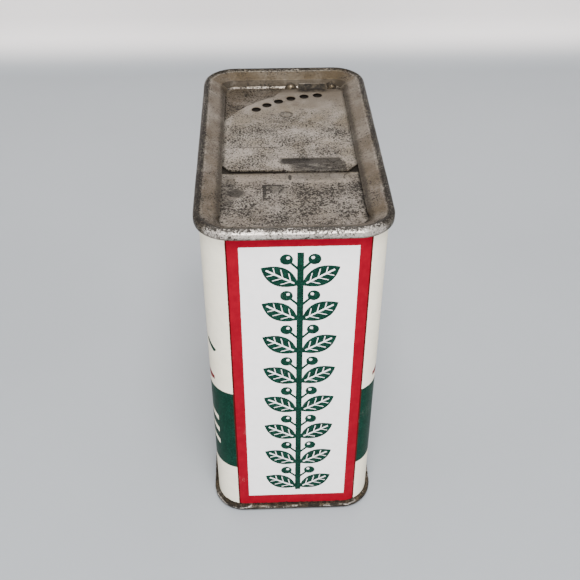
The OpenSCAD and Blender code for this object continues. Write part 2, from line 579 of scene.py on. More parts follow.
def rosette(nodes, s, z, middle):
    """Eight leaves and eight berries round a centre, with a ring; returns its green and red parts."""
    heart_gap, berry_reach = 2.4, 7.6
    eighth = math.pi / 8
    rise = nodes.minus(z, middle)
    reach = nodes.length(s, rise)
    fold = nodes.math("PINGPONG", nodes.math("ARCTAN2", rise, s), eighth)
    u = nodes.minus(nodes.times(reach, nodes.math("COSINE", fold)), heart_gap)
    v = nodes.times(reach, nodes.math("SINE", fold))
    blades = nodes.group(leaf(), U=u, V=v, Length=6.6, Half_Width=1.5, Rib=0.13)
    berry_at = (berry_reach * math.cos(eighth), berry_reach * math.sin(eighth))
    berries = nodes.disc(nodes.plus(u, heart_gap), v, *berry_at, 0.85)
    ring = nodes.between(reach, 10.1, 10.55)
    heart = nodes.below(reach, 1.7)
    return nodes.either(blades, ring), nodes.either(berries, heart)


def side_print(nodes, x, y, z, low, high):
    """Green, red and bare parts of the broad faces. s runs the same way on both of them."""
    s = nodes.times(y, nodes.math("SIGN", x))
    from_middle = nodes.absolute(s)
    flank = nodes.below(nodes.absolute(y), 30.5)

    # a waving red ribbon with tapered tips, and a thin line that waves along above it
    wave = nodes.math("COSINE", nodes.times(s, 2 * math.pi / 29))
    ribbon_mid = nodes.minus(43.0, nodes.times(wave, 2.6))
    taper = nodes.ramp(from_middle, 27.6, 29.9, 1.0, 0.5)
    ribbon_half = nodes.times(nodes.minus(1.55, nodes.times(wave, 0.6)), taper)
    ribbon_off = nodes.absolute(nodes.minus(z, ribbon_mid))
    ribbon = nodes.both(nodes.below(ribbon_off, ribbon_half), nodes.below(from_middle, 29.6))
    line_off = nodes.absolute(nodes.minus(z, nodes.plus(ribbon_mid, 9.6)))
    line = nodes.both(nodes.below(line_off, 0.24), nodes.between(s, -26.0, 28.4))
    line = nodes.without(line, nodes.below(from_middle, 12.5))

    # the end of a scroll, on one face only
    hook_along, hook_across = turned(nodes, nodes.minus(s, 28.3), nodes.minus(z, 50.0), -38)
    hook = nodes.both(
        nodes.below(nodes.absolute(hook_across), 0.55),
        nodes.between(hook_along, -0.4, 2.5),
        nodes.below(x, 0.0),
    )
    leaves, berries = rosette(nodes, s, z, 61.5)

    # three rows of slanting dashes in the green band
    period, dash_foot, rung_height = 6.4, 22.05, 3.75
    always_positive = 200 * period
    step = nodes.math("MODULO", nodes.minus(nodes.plus(s, always_positive), 29.9), period)
    slanted = nodes.plus(z, nodes.times(step, 0.36))
    rung = nodes.math("MODULO", nodes.minus(slanted, dash_foot), rung_height)
    dash_half = nodes.ramp(step, 2.6, 5.8, 0.12, 0.66)
    dash = nodes.both(
        nodes.below(nodes.absolute(nodes.minus(rung, 1.3)), dash_half),
        nodes.between(slanted, dash_foot, 33.2),
        nodes.above(step, 2.9),
        nodes.between(s, -26.0, 29.9),
    )
    green = nodes.both(nodes.either(line, hook, leaves), flank)
    red = nodes.both(nodes.either(ribbon, berries), flank)
    return green, red, nodes.both(dash, flank, nodes.between(z, low, high))


def printed_tinplate(inks, metal, sizes):
    """Litho print on tinplate: cream, green band, red frame and a sprig, with wear to bare metal."""
    material, nodes, shader, place = new_material("printed_tinplate")
    waver = nodes.add("ShaderNodeTexNoise", {"Vector": place, "Scale": 2.6}).outputs["Color"]
    wobble = nodes.vector("SUBTRACT", waver, (0.5, 0.5, 0.5))
    x, y, z = nodes.split(nodes.vector("ADD", place, nodes.vector("SCALE", wobble, 0.12)))
    px, py, pz = nodes.split(place)
    half_d, narrow_face = sizes.depth / MM / 2, 1.9
    low, high = inks.band_low / MM, inks.band_high / MM
    panel_low, panel_high = inks.panel_low / MM, inks.panel_high / MM
    frame_half, panel_half = inks.frame_outer / MM / 2, inks.frame_inner / MM / 2

    # layout of the print
    front = nodes.below(y, narrow_face - half_d)
    back = nodes.above(y, half_d - narrow_face)
    from_frame = nodes.absolute(nodes.minus(x, inks.frame_shift / MM))
    in_frame = nodes.both(front, nodes.below(from_frame, frame_half))
    in_panel = nodes.both(
        front,
        nodes.below(from_frame, panel_half),
        nodes.between(z, panel_low, panel_high),
    )
    overlap = nodes.both(front, nodes.between(from_frame, frame_half - 0.22, frame_half + 0.1))
    foot, head = panel_low + 1.8, panel_high - 1.3
    pitch = (head - foot) / inks.sprig_tiers
    leaves = nodes.both(in_panel, sprig(nodes, nodes.minus(x, 0.95), z, foot, pitch, inks.sprig_tiers))
    green, red, dashes = side_print(nodes, x, y, z, low, high)
    band = nodes.without(nodes.between(z, low, high), in_frame)

    # inks
    red_speck = (0.21, 0.002, 0.004)
    red_overprint = (0.05, 0.002, 0.002)
    red_on_cream = (0.05, 0.001, 0.003)
    old_varnish = (0.74, 0.66, 0.50)
    scratched = (0.50, 0.47, 0.41)
    nicked = (0.075, 0.055, 0.045)
    grain = nodes.noise(place, 4.2, detail=3.0, roughness=0.75)
    mottle = nodes.noise(place, 0.55, detail=4.0, roughness=0.6)
    yellowed = nodes.noise(place, 0.06, detail=3.0)
    green_speck = tuple(c * 2.9 + 0.0015 for c in inks.green)
    green_ink = nodes.mix(nodes.ramp(grain, 0.44, 0.66), inks.green, green_speck)
    green_ink = nodes.mix(nodes.ramp(mottle, 0.35, 0.75, 0.0, 0.35), green_ink, shade(inks.green, 0.5))
    red_ink = nodes.mix(nodes.ramp(mottle, 0.3, 0.7), inks.red, shade(inks.red, 0.82))
    red_ink = nodes.mix(nodes.ramp(grain, 0.52, 0.75, 0.0, 0.22), red_ink, red_speck)
    cream = nodes.mix(nodes.ramp(mottle, 0.3, 0.72), inks.cream, shade(inks.cream, 0.93))
    cream = nodes.mix(nodes.ramp(yellowed, 0.42, 0.68, 0.0, 0.4), cream, old_varnish)
    white = nodes.mix(nodes.ramp(mottle, 0.35, 0.7), inks.white, shade(inks.white, 0.955))

    colour = nodes.mix(band, cream, green_ink)
    colour = nodes.mix(nodes.without(green, band), colour, green_ink)
    colour = nodes.mix(nodes.without(red, band), colour, nodes.mix(0.5, red_ink, red_on_cream))
    colour = nodes.mix(dashes, colour, cream)
    colour = nodes.mix(in_frame, colour, red_ink)
    colour = nodes.mix(overlap, colour, red_overprint)
    colour = nodes.mix(in_panel, colour, white)
    colour = nodes.mix(leaves, colour, green_ink)

    # small dark nicks, most of them on the sides and round one knocked spot, and long hair scratches
    nick_place = nodes.vector("MULTIPLY", place, (1.0, 1.0, 0.6))
    cell = nodes.add("ShaderNodeTexVoronoi", {"Vector": nick_place, "Scale": 0.34}).outputs
    chances = nodes.split(cell["Color"])
    knocked = nodes.both(
        nodes.ramp(px, -15.0, -16.6),
        nodes.ramp(pz, 48.0, 52.0),
        nodes.ramp(pz, 62.0, 58.0),
    )
    chance = nodes.plus(nodes.ramp(yellowed, 0.42, 0.62, 0.04, 0.3), nodes.times(knocked, 0.5))
    ragged = nodes.plus(cell["Distance"], nodes.times(chances[1], 0.09))
    ragged = nodes.plus(ragged, nodes.times(grain, 0.13))
    nicks = nodes.both(nodes.below(chances[0], chance), nodes.below(ragged, 0.18))
    nicks = nodes.both(nicks, nodes.ramp(nodes.absolute(px), 12.0, 16.5, 0.25, 1.0))
    upright = nodes.join(pz, px, py)
    hairs = nodes.group(fine_scratches(), Position=upright, Width=0.009, Cover=0.6)
    colour = nodes.mix(nodes.both(hairs, nodes.times(grain, 0.7)), colour, scratched)
    colour = nodes.mix(nicks, colour, nicked)

    # rust creeping out from under the two seams
    creep_out = nodes.times(nodes.noise(place, 0.9, detail=5.0, roughness=0.7), 1.9)
    base_line = sizes.base_seam / MM - 0.95
    top_line = (sizes.height - sizes.seam_height) / MM + 0.78
    creep = nodes.either(
        nodes.below(pz, nodes.plus(base_line, creep_out)),
        nodes.above(pz, nodes.minus(top_line, creep_out)),
    )
    rust = nodes.mix(nodes.ramp(grain, 0.35, 0.65), metal.rust, metal.dark)
    colour = nodes.mix(nodes.times(creep, 0.9), colour, rust)

    # bare tin inside, and in a strip along the back seam, streaked and specked with rust
    strip_half = nodes.plus(nodes.absolute(px), nodes.times(grain, 0.3))
    bare_strip = nodes.both(back, nodes.below(strip_half, 2.75))
    inside = nodes.below(distance_out(nodes, px, py, sizes), -sizes.sheet / MM / 2)
    bare = nodes.either(inside, bare_strip)
    worn = nodes.ramp(nodes.noise(place, 0.5, detail=5.0), 0.35, 0.65)
    drawn = nodes.noise(nodes.vector("MULTIPLY", place, (2.6, 2.6, 0.12)), 1.0, detail=3.0)
    specks = nodes.group(tin_pits(), Position=place, Grain=2.2, Threshold=0.585, Clumping=0.4)
    tin = nodes.mix(worn, metal.warm, metal.bright)
    tin = nodes.mix(nodes.ramp(drawn, 0.42, 0.62, 0.0, 0.6), tin, metal.brown)
    tin = nodes.mix(nodes.times(specks, 0.85), tin, metal.rust)
    colour = nodes.mix(bare, colour, tin)

    roughness = nodes.plus(nodes.times(mottle, 0.14), 0.34)
    roughness = nodes.plus(roughness, nodes.times(nodes.either(nicks, creep), 0.35))
    roughness = nodes.plus(roughness, nodes.times(hairs, 0.2))
    metallic = nodes.times(bare, 0.85)
    ink_edge = nodes.times(nodes.either(band, in_frame, leaves), 0.25)
    ripple = nodes.times(nodes.noise(place, 0.05, detail=1.0), 1.6)
    height = nodes.plus(nodes.plus(nodes.times(grain, 0.25), ripple), ink_edge)
    height = nodes.minus(height, nodes.times(nodes.either(nicks, hairs, creep), 0.6))
    connect(nodes, shader, colour, roughness, metallic, height, 0.00008, 0.55)
    shader.inputs["Specular IOR Level"].default_value = 0.04
    return material


def aged_tin(name, metal, threshold, marks, streak=0.0, stain=0.42):
    """Old tinplate, pitted and stained.

    The threshold function sets how thick the pits lie, and marks puts on the piece's own wear and painted
    light:
    it returns masks for dark marks and painted shade, tin that stayed clean, brown grease, and painted
    highlights and tin worn bright."""
    material, nodes, shader, place = new_material(name)
    cloud = nodes.noise(place, 0.13, detail=5.0, roughness=0.6)
    fine = nodes.noise(place, 5.5, detail=3.0, roughness=0.65)
    dark_marks_and_shade, clean, brown, rubbed = marks(nodes, place)
    level = nodes.plus(threshold(nodes, place), nodes.times(clean, 0.09))
    pits = nodes.group(tin_pits(), Position=place, Grain=2.75, Threshold=level, Clumping=0.3)
    dust_level = nodes.plus(level, 0.01)
    dust = nodes.group(tin_pits(), Position=place, Grain=6.5, Threshold=dust_level, Clumping=0.2)
    stains = nodes.group(grime(), Position=place, Scale=0.21, Cover=stain)
    scratches = nodes.group(fine_scratches(), Position=place, Width=0.012, Cover=0.52)

    colour = nodes.mix(nodes.ramp(cloud, 0.36, 0.66), metal.bright, metal.warm)
    colour = nodes.mix(nodes.ramp(fine, 0.4, 0.72, 0.0, 0.35), colour, shade(metal.warm, 0.6))
    if streak:
        drawn = nodes.noise(nodes.vector("MULTIPLY", place, (2.2, 2.2, 0.2)), 1.0, detail=3.0)
        colour = nodes.mix(nodes.ramp(drawn, 0.45, 0.7, 0.0, streak), colour, shade(metal.warm, 0.45))
    colour = nodes.mix(nodes.times(stains, 0.55), colour, shade(metal.rust, 1.6))
    rubbed = nodes.times(rubbed, nodes.ramp(fine, 0.38, 0.56, 0.3, 1.0))
    colour = nodes.mix(rubbed, colour, metal.rubbed)
    brown = nodes.times(brown, nodes.ramp(cloud, 0.3, 0.6, 0.7, 1.0))
    colour = nodes.mix(brown, colour, metal.brown)
    colour = nodes.mix(nodes.times(dust, 0.62), colour, metal.dark)
    colour = nodes.mix(nodes.times(scratches, 0.4), colour, metal.dark)
    colour = nodes.mix(nodes.times(pits, 0.93), colour, metal.dark)
    colour = nodes.mix(dark_marks_and_shade, colour, metal.dark)

    dirt_and_shade = nodes.either(pits, nodes.times(dust, 0.6), nodes.times(stains, 0.4))
    dirt_and_shade = nodes.either(dirt_and_shade, dark_marks_and_shade)
    roughness = nodes.plus(nodes.times(fine, 0.2), 0.22)
    roughness = nodes.plus(roughness, nodes.times(dirt_and_shade, 0.3))
    metallic = nodes.minus(0.88, nodes.times(dirt_and_shade, 0.7))
    height = nodes.minus(nodes.times(fine, 0.35), nodes.times(pits, 0.8))
    height = nodes.minus(height, nodes.times(dust, 0.3))
    connect(nodes, shader, colour, roughness, metallic, height, 0.00007, 0.7)
    shader.inputs["Specular IOR Level"].default_value = 0.1
    return material


def distance_out(nodes, x, y, sizes):
    """How far a point lies outside the body's outer face, in millimetres."""
    corner = sizes.corner / MM
    core = (sizes.width / MM / 2 - corner, sizes.depth / MM / 2 - corner, 0.0)
    past = nodes.vector("SUBTRACT", nodes.vector("ABSOLUTE", nodes.join(x, y)), core)
    beyond = nodes.vector("MAXIMUM", past, (0.0, 0.0, 0.0))
    return nodes.minus(nodes.vector("LENGTH", beyond, out=1), corner)


def blotches(nodes, place):
    """Coarse raggedness about zero, which breaks up the edges of the marks."""
    return nodes.minus(nodes.noise(place, 1.3, detail=5.0, roughness=0.7), 0.5)


def spot(nodes, x, y, centre, reach, grain, softness=0.5):
    """A soft ragged stain round a centre."""
    offset = nodes.length(
        nodes.over(nodes.minus(x, centre[0]), reach[0]),
        nodes.over(nodes.minus(y, centre[1]), reach[1]),
    )
    distance = nodes.plus(offset, nodes.times(grain, 0.9))
    return nodes.ramp(distance, 1.45 - softness, 1.45, 1.0, 0.0)


def block(nodes, x, y, across, along):
    """A straight-edged mark."""
    return nodes.both(nodes.between(x, *across), nodes.between(y, *along))


def top_tinplate(metal, sizes):
    """Tinplate of the top end, with its own marks on the floor, folds and rim."""
    rim = sizes.height / MM
    floor_level = rim - sizes.top_depth / MM
    half_w, half_d = sizes.width / MM / 2, sizes.depth / MM / 2
    near_face, far_wall = -half_d, half_d - 4.6

    def threshold(nodes, place):
        """Pits lie thick on the rim and the near floor, and thin on the slopes."""
        _, y, z = nodes.split(place)
        on_rim = nodes.ramp(z, rim - 0.75, rim - 0.1)
        on_slope = nodes.both(
            nodes.ramp(z, floor_level + 0.2, floor_level + 0.9),
            nodes.minus(1.0, on_rim),
        )
        level = nodes.plus(0.487, nodes.times(nodes.ramp(y, -14.0, -8.0), 0.03))
        level = nodes.plus(level, nodes.times(on_slope, 0.07))
        return nodes.minus(level, nodes.times(on_rim, 0.06))

    def marks(nodes, place):
        x, y, z = nodes.split(place)
        side = nodes.absolute(x)
        grain = blotches(nodes, place)
        out = nodes.plus(distance_out(nodes, x, y, sizes), nodes.times(grain, 0.35))
        on_floor = nodes.below(z, floor_level + 0.25)
        on_wall = nodes.above(z, floor_level + 0.25)
        at_far_wall = nodes.above(y, far_wall)

        # the guides are dark with old grease and painted shade in their folds, and the far wall is darker
        # over its steep foot
        off_fold = nodes.plus(nodes.absolute(nodes.minus(side, half_w - 3.45)), nodes.times(grain, 1.5))
        to_ends = nodes.ramp(nodes.absolute(y), half_d - 9.0, half_d - 2.5, 0.72, 0.2)
        guide = nodes.both(nodes.ramp(off_fold, 0.0, 1.1, 1.0, 0.0), nodes.below(z, rim - 0.9), to_ends)
        strip = nodes.both(nodes.between(z, floor_level + 0.42, rim - 1.6), at_far_wall, 0.62)

        # the seam is painted dark all round but in front, in corroded flecks and as painted shade where
        # it faces aside; its outer face darkens towards its foot, and painted shade lines the crest's
        # inner edge in front
        flecks = nodes.ramp(nodes.noise(place, 2.6, detail=3.0, roughness=0.7), 0.46, 0.6, 0.9, 0.25)
        off_front = nodes.ramp(y, near_face + 1.0, near_face + 3.5, 0.12, 1.0)
        crest = nodes.both(nodes.ramp(out, -0.65, -0.2), flecks, off_front)
        under_crest = nodes.ramp(nodes.plus(z, grain), rim - 2.1, rim - 1.3, 0.9, 0.0)
        low_seam = nodes.both(nodes.above(out, 0.3), under_crest)
        in_front = nodes.ramp(y, near_face + 2.0, near_face + 4.0, 0.85, 0.0)
        crest_shade = nodes.both(nodes.between(out, -1.0, 0.16), in_front)
        crest_shade = nodes.both(crest_shade, nodes.ramp(grain, -0.25, 0.0, 0.6, 1.0))

        # a worn corner mark, brown patches and a tick on the near floor
        bar = block(nodes, x, y, (-5.6, -1.9), (-13.9, -13.35))
        post = block(nodes, x, y, (-5.6, -4.9), (-19.0, -13.6))
        ghost = nodes.both(nodes.either(bar, post), nodes.ramp(grain, -0.14, 0.0, 0.3, 0.93))
        smear = nodes.times(spot(nodes, x, y, (-3.0, -14.9), (1.7, 1.2), grain, 0.6), 0.6)
        patch = nodes.times(spot(nodes, x, y, (-10.8, -16.2), (1.6, 1.5), grain, 0.7), 0.85)
        left = nodes.times(spot(nodes, x, y, (-12.4, -15.5), (1.6, 6.0), grain, 0.7), 0.55)
        tick = nodes.times(spot(nodes, x, y, (-0.15, -10.8), (0.3, 0.9), grain, 0.5), 0.9)
        shadow = nodes.times(spot(nodes, x, y, (5.5, -10.6), (6.5, 1.3), grain, 0.9), 0.48)

        # painted shade on the floor under the slide plate and round the line of its holes, so that the
        # holes read black; it also stands for grease and old spice under the plate
        sweep = nodes.length(nodes.minus(x, ARC_CENTRE[0]), nodes.minus(y, ARC_CENTRE[1]))
        under = nodes.both(nodes.ramp(y, -9.6, -8.9), nodes.below(side, half_w - 3.2))
        under = nodes.both(under, nodes.below(sweep, 25.6), nodes.ramp(y, 3.0, -6.0, 0.35, 0.93))
        from_holes = nodes.absolute(nodes.minus(sweep, sizes.hole_arc / MM))
        hole_shade_and_residue = nodes.both(nodes.ramp(from_holes, 1.3, 2.2, 0.95, 0.0), nodes.above(y, 12.0))
        floor_marks_and_shade = nodes.either(ghost, smear, patch, left, tick, shadow, under, hole_shade_and_residue)
        dark = nodes.either(nodes.both(floor_marks_and_shade, on_floor), guide, crest, low_seam, strip, crest_shade)

        # clean tin just in front of the plate
        clean = nodes.both(nodes.ramp(y, -13.6, -11.6), nodes.ramp(y, -8.4, -9.4), on_floor, 0.7)

        # brown on the slopes, the far floor and the far wall
        slopes = nodes.both(on_wall, nodes.ramp(out, -0.9, -0.4, 0.7, 0.0))
        far_floor = nodes.both(on_floor, nodes.ramp(y, 4.0, 12.0, 0.25, 0.7))
        upper_wall = nodes.both(nodes.above(z, floor_level + 0.4), at_far_wall, nodes.below(out, -0.6))
        brown = nodes.either(slopes, far_floor, nodes.times(upper_wall, 0.93))

        # painted highlights on the near face of the seam and along the far wall's foot, and tin scuffed a
        # little bright on the near floor
        faces_front = nodes.ramp(y, near_face + 0.5, near_face + 1.5, 1.0, 0.0)
        seam_front_highlight = nodes.both(nodes.ramp(out, -0.1, 0.15), faces_front)
        foot = nodes.both(nodes.between(z, floor_level + 0.04, floor_level + 0.42), at_far_wall)
        foot = nodes.both(foot, nodes.ramp(grain, -0.2, 0.1, 0.15, 0.6))
        scuffed = nodes.ramp(grain, -0.25, 0.15, 0.14, 0.28)
        near_floor = nodes.both(on_floor, nodes.ramp(y, -8.9, -9.5), scuffed)
        return dark, clean, brown, nodes.either(seam_front_highlight, foot, near_floor)

    return aged_tin("top_tinplate", metal, threshold, marks, streak=0.75, stain=0.46)


def slide_tinplate(metal, sizes):
    """Tinplate of the slide plate: cleaner at its far end, greasy in the finger dent."""
    rim = sizes.height / MM
    tab_level = rim - 1.6
    plate_top = rim - sizes.plate_drop / MM

    def threshold(nodes, place):
        y = nodes.split(place)[1]
        return nodes.ramp(y, 8.0, 19.0, 0.502, 0.585)

    def marks(nodes, place):
        x, y, z = nodes.split(place)
        grain = blotches(nodes, place)
        ragged_x = nodes.plus(x, nodes.times(grain, 1.6))
        ragged_y = nodes.plus(y, nodes.times(grain, 0.9))

        # the finger dent: a dark upper edge over a streaked tray, both worn paler to one end
        worn_end = nodes.ramp(ragged_x, 1.0, 10.5, 1.0, 0.88)
        dent = nodes.both(
            nodes.ramp(ragged_x, -2.6, -1.4),
            nodes.ramp(ragged_x, 10.2, 11.0, 1.0, 0.0),
            nodes.ramp(ragged_y, -7.0, -6.0),
            nodes.ramp(ragged_y, -3.9, -4.7),
            worn_end,
            0.95,
        )
        streaks = nodes.vector("MULTIPLY", place, (0.35, 3.0, 1.0))
        drawn = nodes.noise(streaks, 1.0, detail=3.0, roughness=0.7)
        slant = nodes.plus(ragged_x, nodes.times(y, 0.55))
        tray = nodes.both(nodes.ramp(slant, -4.9, -3.2), nodes.below(x, 11.2), nodes.ramp(y, -5.4, -6.4))
        tray = nodes.both(tray, nodes.ramp(drawn, 0.32, 0.58, 0.5, 0.98), worn_end)
        line = block(nodes, x, y, (0.2, 9.5), (-8.35, -8.0))
        line = nodes.both(line, nodes.ramp(grain, -0.1, 0.05, 0.2, 0.85))

        # painted shade with grime on the stop tab, paler towards its top, a long rub across the plate and
        # the press ring
        tab = nodes.both(
            nodes.ramp(ragged_x, 2.4, 4.0, 0.45, 1.0),
            nodes.ramp(ragged_x, 8.9, 10.2, 1.0, 0.45),
            nodes.ramp(ragged_y, 24.4, 25.8),
            nodes.ramp(grain, -0.22, 0.06, 0.45, 0.98),
            nodes.ramp(z, tab_level, tab_level + 0.15, 1.0, 0.45),
        )
        rub = block(nodes, x, y, (-12.6, -1.6), (0.0, 0.26))
        rub = nodes.both(rub, nodes.ramp(grain, -0.1, 0.08, 0.4, 0.92))
        from_ring = nodes.length(nodes.minus(x, RING_CENTRE[0]), nodes.minus(y, RING_CENTRE[1]))
        ring = nodes.ramp(nodes.absolute(nodes.minus(from_ring, 1.25)), 0.15, 0.5, 0.78, 0.0)
        ring = nodes.either(ring, nodes.ramp(from_ring, 0.7, 1.6, 0.4, 0.0))
        ring = nodes.both(ring, nodes.ramp(grain, -0.25, 0.1, 0.45, 1.0))

        # painted shade and grime along the guides, and painted shade in everything sunk beyond the dent,
        # deepest round the holes
        edge = nodes.ramp(nodes.absolute(x), 12.6, 13.35, 0.0, 0.6)
        sunk = nodes.ramp(z, plate_top - 0.1, plate_top - 0.02, 1.0, 0.0)
        low = nodes.both(sunk, nodes.above(y, -4.0), nodes.ramp(y, 15.9, 16.3, 0.55, 0.95))
        dark = nodes.either(dent, tray, line, tab, rub, ring, edge, low)

        ragged_far = nodes.plus(y, nodes.times(grain, 8.0))
        brown = nodes.ramp(ragged_far, 10.0, 24.0, 0.0, 0.78)
        # a painted highlight along the top of the stop tab, kept out of the dark marks
        lip = nodes.times(nodes.above(z, tab_level), 0.3)
        rubbed = nodes.either(lip, nodes.ramp(y, 12.0, 5.0, 0.0, 0.13))
        return nodes.without(dark, lip), nodes.ramp(y, 14.0, 21.0, 0.0, 0.35), brown, rubbed

    return aged_tin("slide_tinplate", metal, threshold, marks, stain=0.36)


def base_tinplate(metal, sizes):
    """Darker, rustier tinplate of the bottom end."""

    def threshold(nodes, place):
        return nodes.ramp(nodes.split(place)[2], 0.0, 2.2, 0.5, 0.53)

    def marks(nodes, place):
        x, y, z = nodes.split(place)
        patches = nodes.noise(place, 0.55, detail=5.0, roughness=0.7)
        rusted = nodes.both(nodes.ramp(patches, 0.42, 0.58), nodes.ramp(z, 1.8, 1.2, 0.95, 0.7))
        brown = nodes.ramp(patches, 0.3, 0.5, 0.55, 0.95)

        # a broken painted highlight along the middle of the seam's outer face
        drift = nodes.times(nodes.minus(nodes.noise(place, 0.25, detail=3.0), 0.5), 1.6)
        off_line = nodes.absolute(nodes.plus(nodes.minus(z, 1.35), drift))
        broken = nodes.ramp(nodes.noise(place, 0.5, detail=4.0), 0.47, 0.58)
        outside = nodes.above(distance_out(nodes, x, y, sizes), 0.2)
        worn = nodes.both(nodes.ramp(off_line, 0.12, 0.4, 1.0, 0.0), broken, outside)
        return nodes.without(rusted, worn), 0.0, nodes.without(brown, worn), nodes.times(worn, 0.85)

    return aged_tin("base_tinplate", metal, threshold, marks, stain=0.62)


# ---------------------------------------------------------------- pieces


def seam_path(sizes, seam_height):
    """The rolled seam: from the wall's top over the crest and round to the slot for the body's edge."""
    out = sizes.seam_out / MM
    foot = -seam_height / MM
    sheet = sizes.sheet / MM
    over = [
        (-0.15, -0.34, 0.25),
        (0.25, 0.0, 0.28),
        (out * 0.72, -0.28, 0.3),
        (out, -0.85, 0.5),
        (out, foot, 0.42),
    ]
    under = [(0.0, foot, 0.0), (0.0, -0.7, 0.0), (-sheet, -0.7, 0.0), (-sheet, -0.78, 0.0)]
    return over, under


def recessed_section(sizes, depth, seam_height):
    """Plain section of an end, with its foot eased into the floor."""
    over, under = seam_path(sizes, seam_height)
    sheet = sizes.sheet / MM
    wall = [
        (-4.9, -depth, 0.0),
        (-4.0, -depth, 0.55),
        (-3.72, -depth + 0.36, 0.05),
        (-3.45, -depth + 0.69, 0.05),
        (-3.2, -depth + 1.0, 0.05),
        (-2.7, -1.6, 0.8),
    ]
    back = [
        (-2.8, -1.98, 0.3),
        (-3.3, -2.5, 0.1),
        (-4.15, -depth - sheet, 0.4),
        (-4.9, -depth - sheet, 0.0),
    ]
    return filleted(wall + over + under + back)


def guide_section(sizes, depth):
    """Section of the long sides, folded over to hold the edge of the slide plate."""
    over, under = seam_path(sizes, sizes.seam_height)
    sheet = sizes.sheet / MM
    wall = [
        (-4.9, -depth, 0.0),
        (-3.1, -depth, 0.15),
        (-3.1, -2.5, 0.15),
        (-3.78, -2.5, 0.08),
        (-3.86, -2.3, 0.14),
        (-2.7, -1.6, 0.8),
    ]
    back = [
        (-2.6, -1.98, 0.3),
        (-2.6, -3.16, 0.25),
        (-3.1, -depth - sheet, 0.2),
        (-4.9, -depth - sheet, 0.0),
    ]
    return filleted(wall + over + under + back)


def roughen_seam(bm, half_w, half_d, low, high):
    """Lets the outer face of a rolled seam wander a little, as a rolled seam does."""
    for vert in bm.verts:
        outside = max(abs(vert.co.x) - half_w, abs(vert.co.y) - half_d)
        if outside > 0.3 and low < vert.co.z < high:
            turn = math.atan2(vert.co.y / half_d, vert.co.x / half_w)
            swing = 0.55 * math.sin(17 * turn)
            swing += 0.3 * math.sin(41 * turn + 1.3)
            swing += 0.25 * math.sin(67 * turn)
            vert.co.xy *= 1 - 0.0011 * (1 + swing)


def pressed_dome(bm, centre, radius):
    """A round stop pressed up from the floor, with a flared foot."""
    crown = arc((0.0, 0.0), radius, 90, 20, 7)
    flare = [(radius * 1.06, radius * 0.12), (radius * 1.16, 0.03), (radius * 1.25, 0.0)]
    foot = [(radius * 1.25, -0.08), (0.0, -0.08)]
    lathe(bm, crown + flare + foot, centre)


class TIN_OT_printed_body(bpy.types.Operator):
    """Prints and varnishes the body shell"""

    bl_idname = "tin.printed_body"
    bl_label = "Printed body"

    def execute(self, context):
        scene = context.scene
        finish = printed_tinplate(scene.tin_print, scene.tin_metal, scene.tin_sizes)
        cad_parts["body_shell"].material_slots[0].material = finish
        return {"FINISHED"}


class TIN_OT_top_end(bpy.types.Operator):
    """Builds the countersunk top end with its guides, stop domes and pouring opening"""

    bl_idname = "tin.top_end"
    bl_label = "Top end"

    def execute(self, context):
        sizes, metal = context.scene.tin_sizes, context.scene.tin_metal
        half_w, half_d = sizes.width / MM / 2, sizes.depth / MM / 2
        rim, depth, sheet = sizes.height / MM, sizes.top_depth / MM, sizes.sheet / MM
        plain = recessed_section(sizes, depth, sizes.seam_height)
        bm = bmesh.new()
        sweep_round(bm, plain, guide_section(sizes, depth), half_w, half_d, sizes.corner / MM)
        roughen_seam(bm, half_w, half_d, -sizes.seam_height / MM, 0.1)

        # pouring opening: a box cut short by the arc that it shares with the sprinkling holes
        left, right, near, radius = -8.5, 12.3, 9.8, 21.2
        start = math.degrees(math.acos((right - ARC_CENTRE[0]) / radius))
        stop = math.degrees(math.acos((left - ARC_CENTRE[0]) / radius))
        outline = [(right, near)] + arc(ARC_CENTRE, radius, start, stop, 28) + [(left, near)]
        lips = []
        for level in (-depth, -depth - sheet):
            lip = loop(bm, outline, level)
            lips += lip
            fill(bm, [e for e in open_edges(bm, level) if e not in lip] + lip)
        bmesh.ops.bridge_loops(bm, edges=lips)
        bmesh.ops.translate(bm, vec=(0, 0, rim), verts=bm.verts)
        for across, radius in ((1.55, 1.35), (11.0, 1.1)):
            pressed_dome(bm, (across, half_d - 4.0, rim - depth), radius)
        finish = top_tinplate(metal, sizes)
        finish_piece(bm, "top_end_tin", finish, "tin", "top_end")
        return {"FINISHED"}


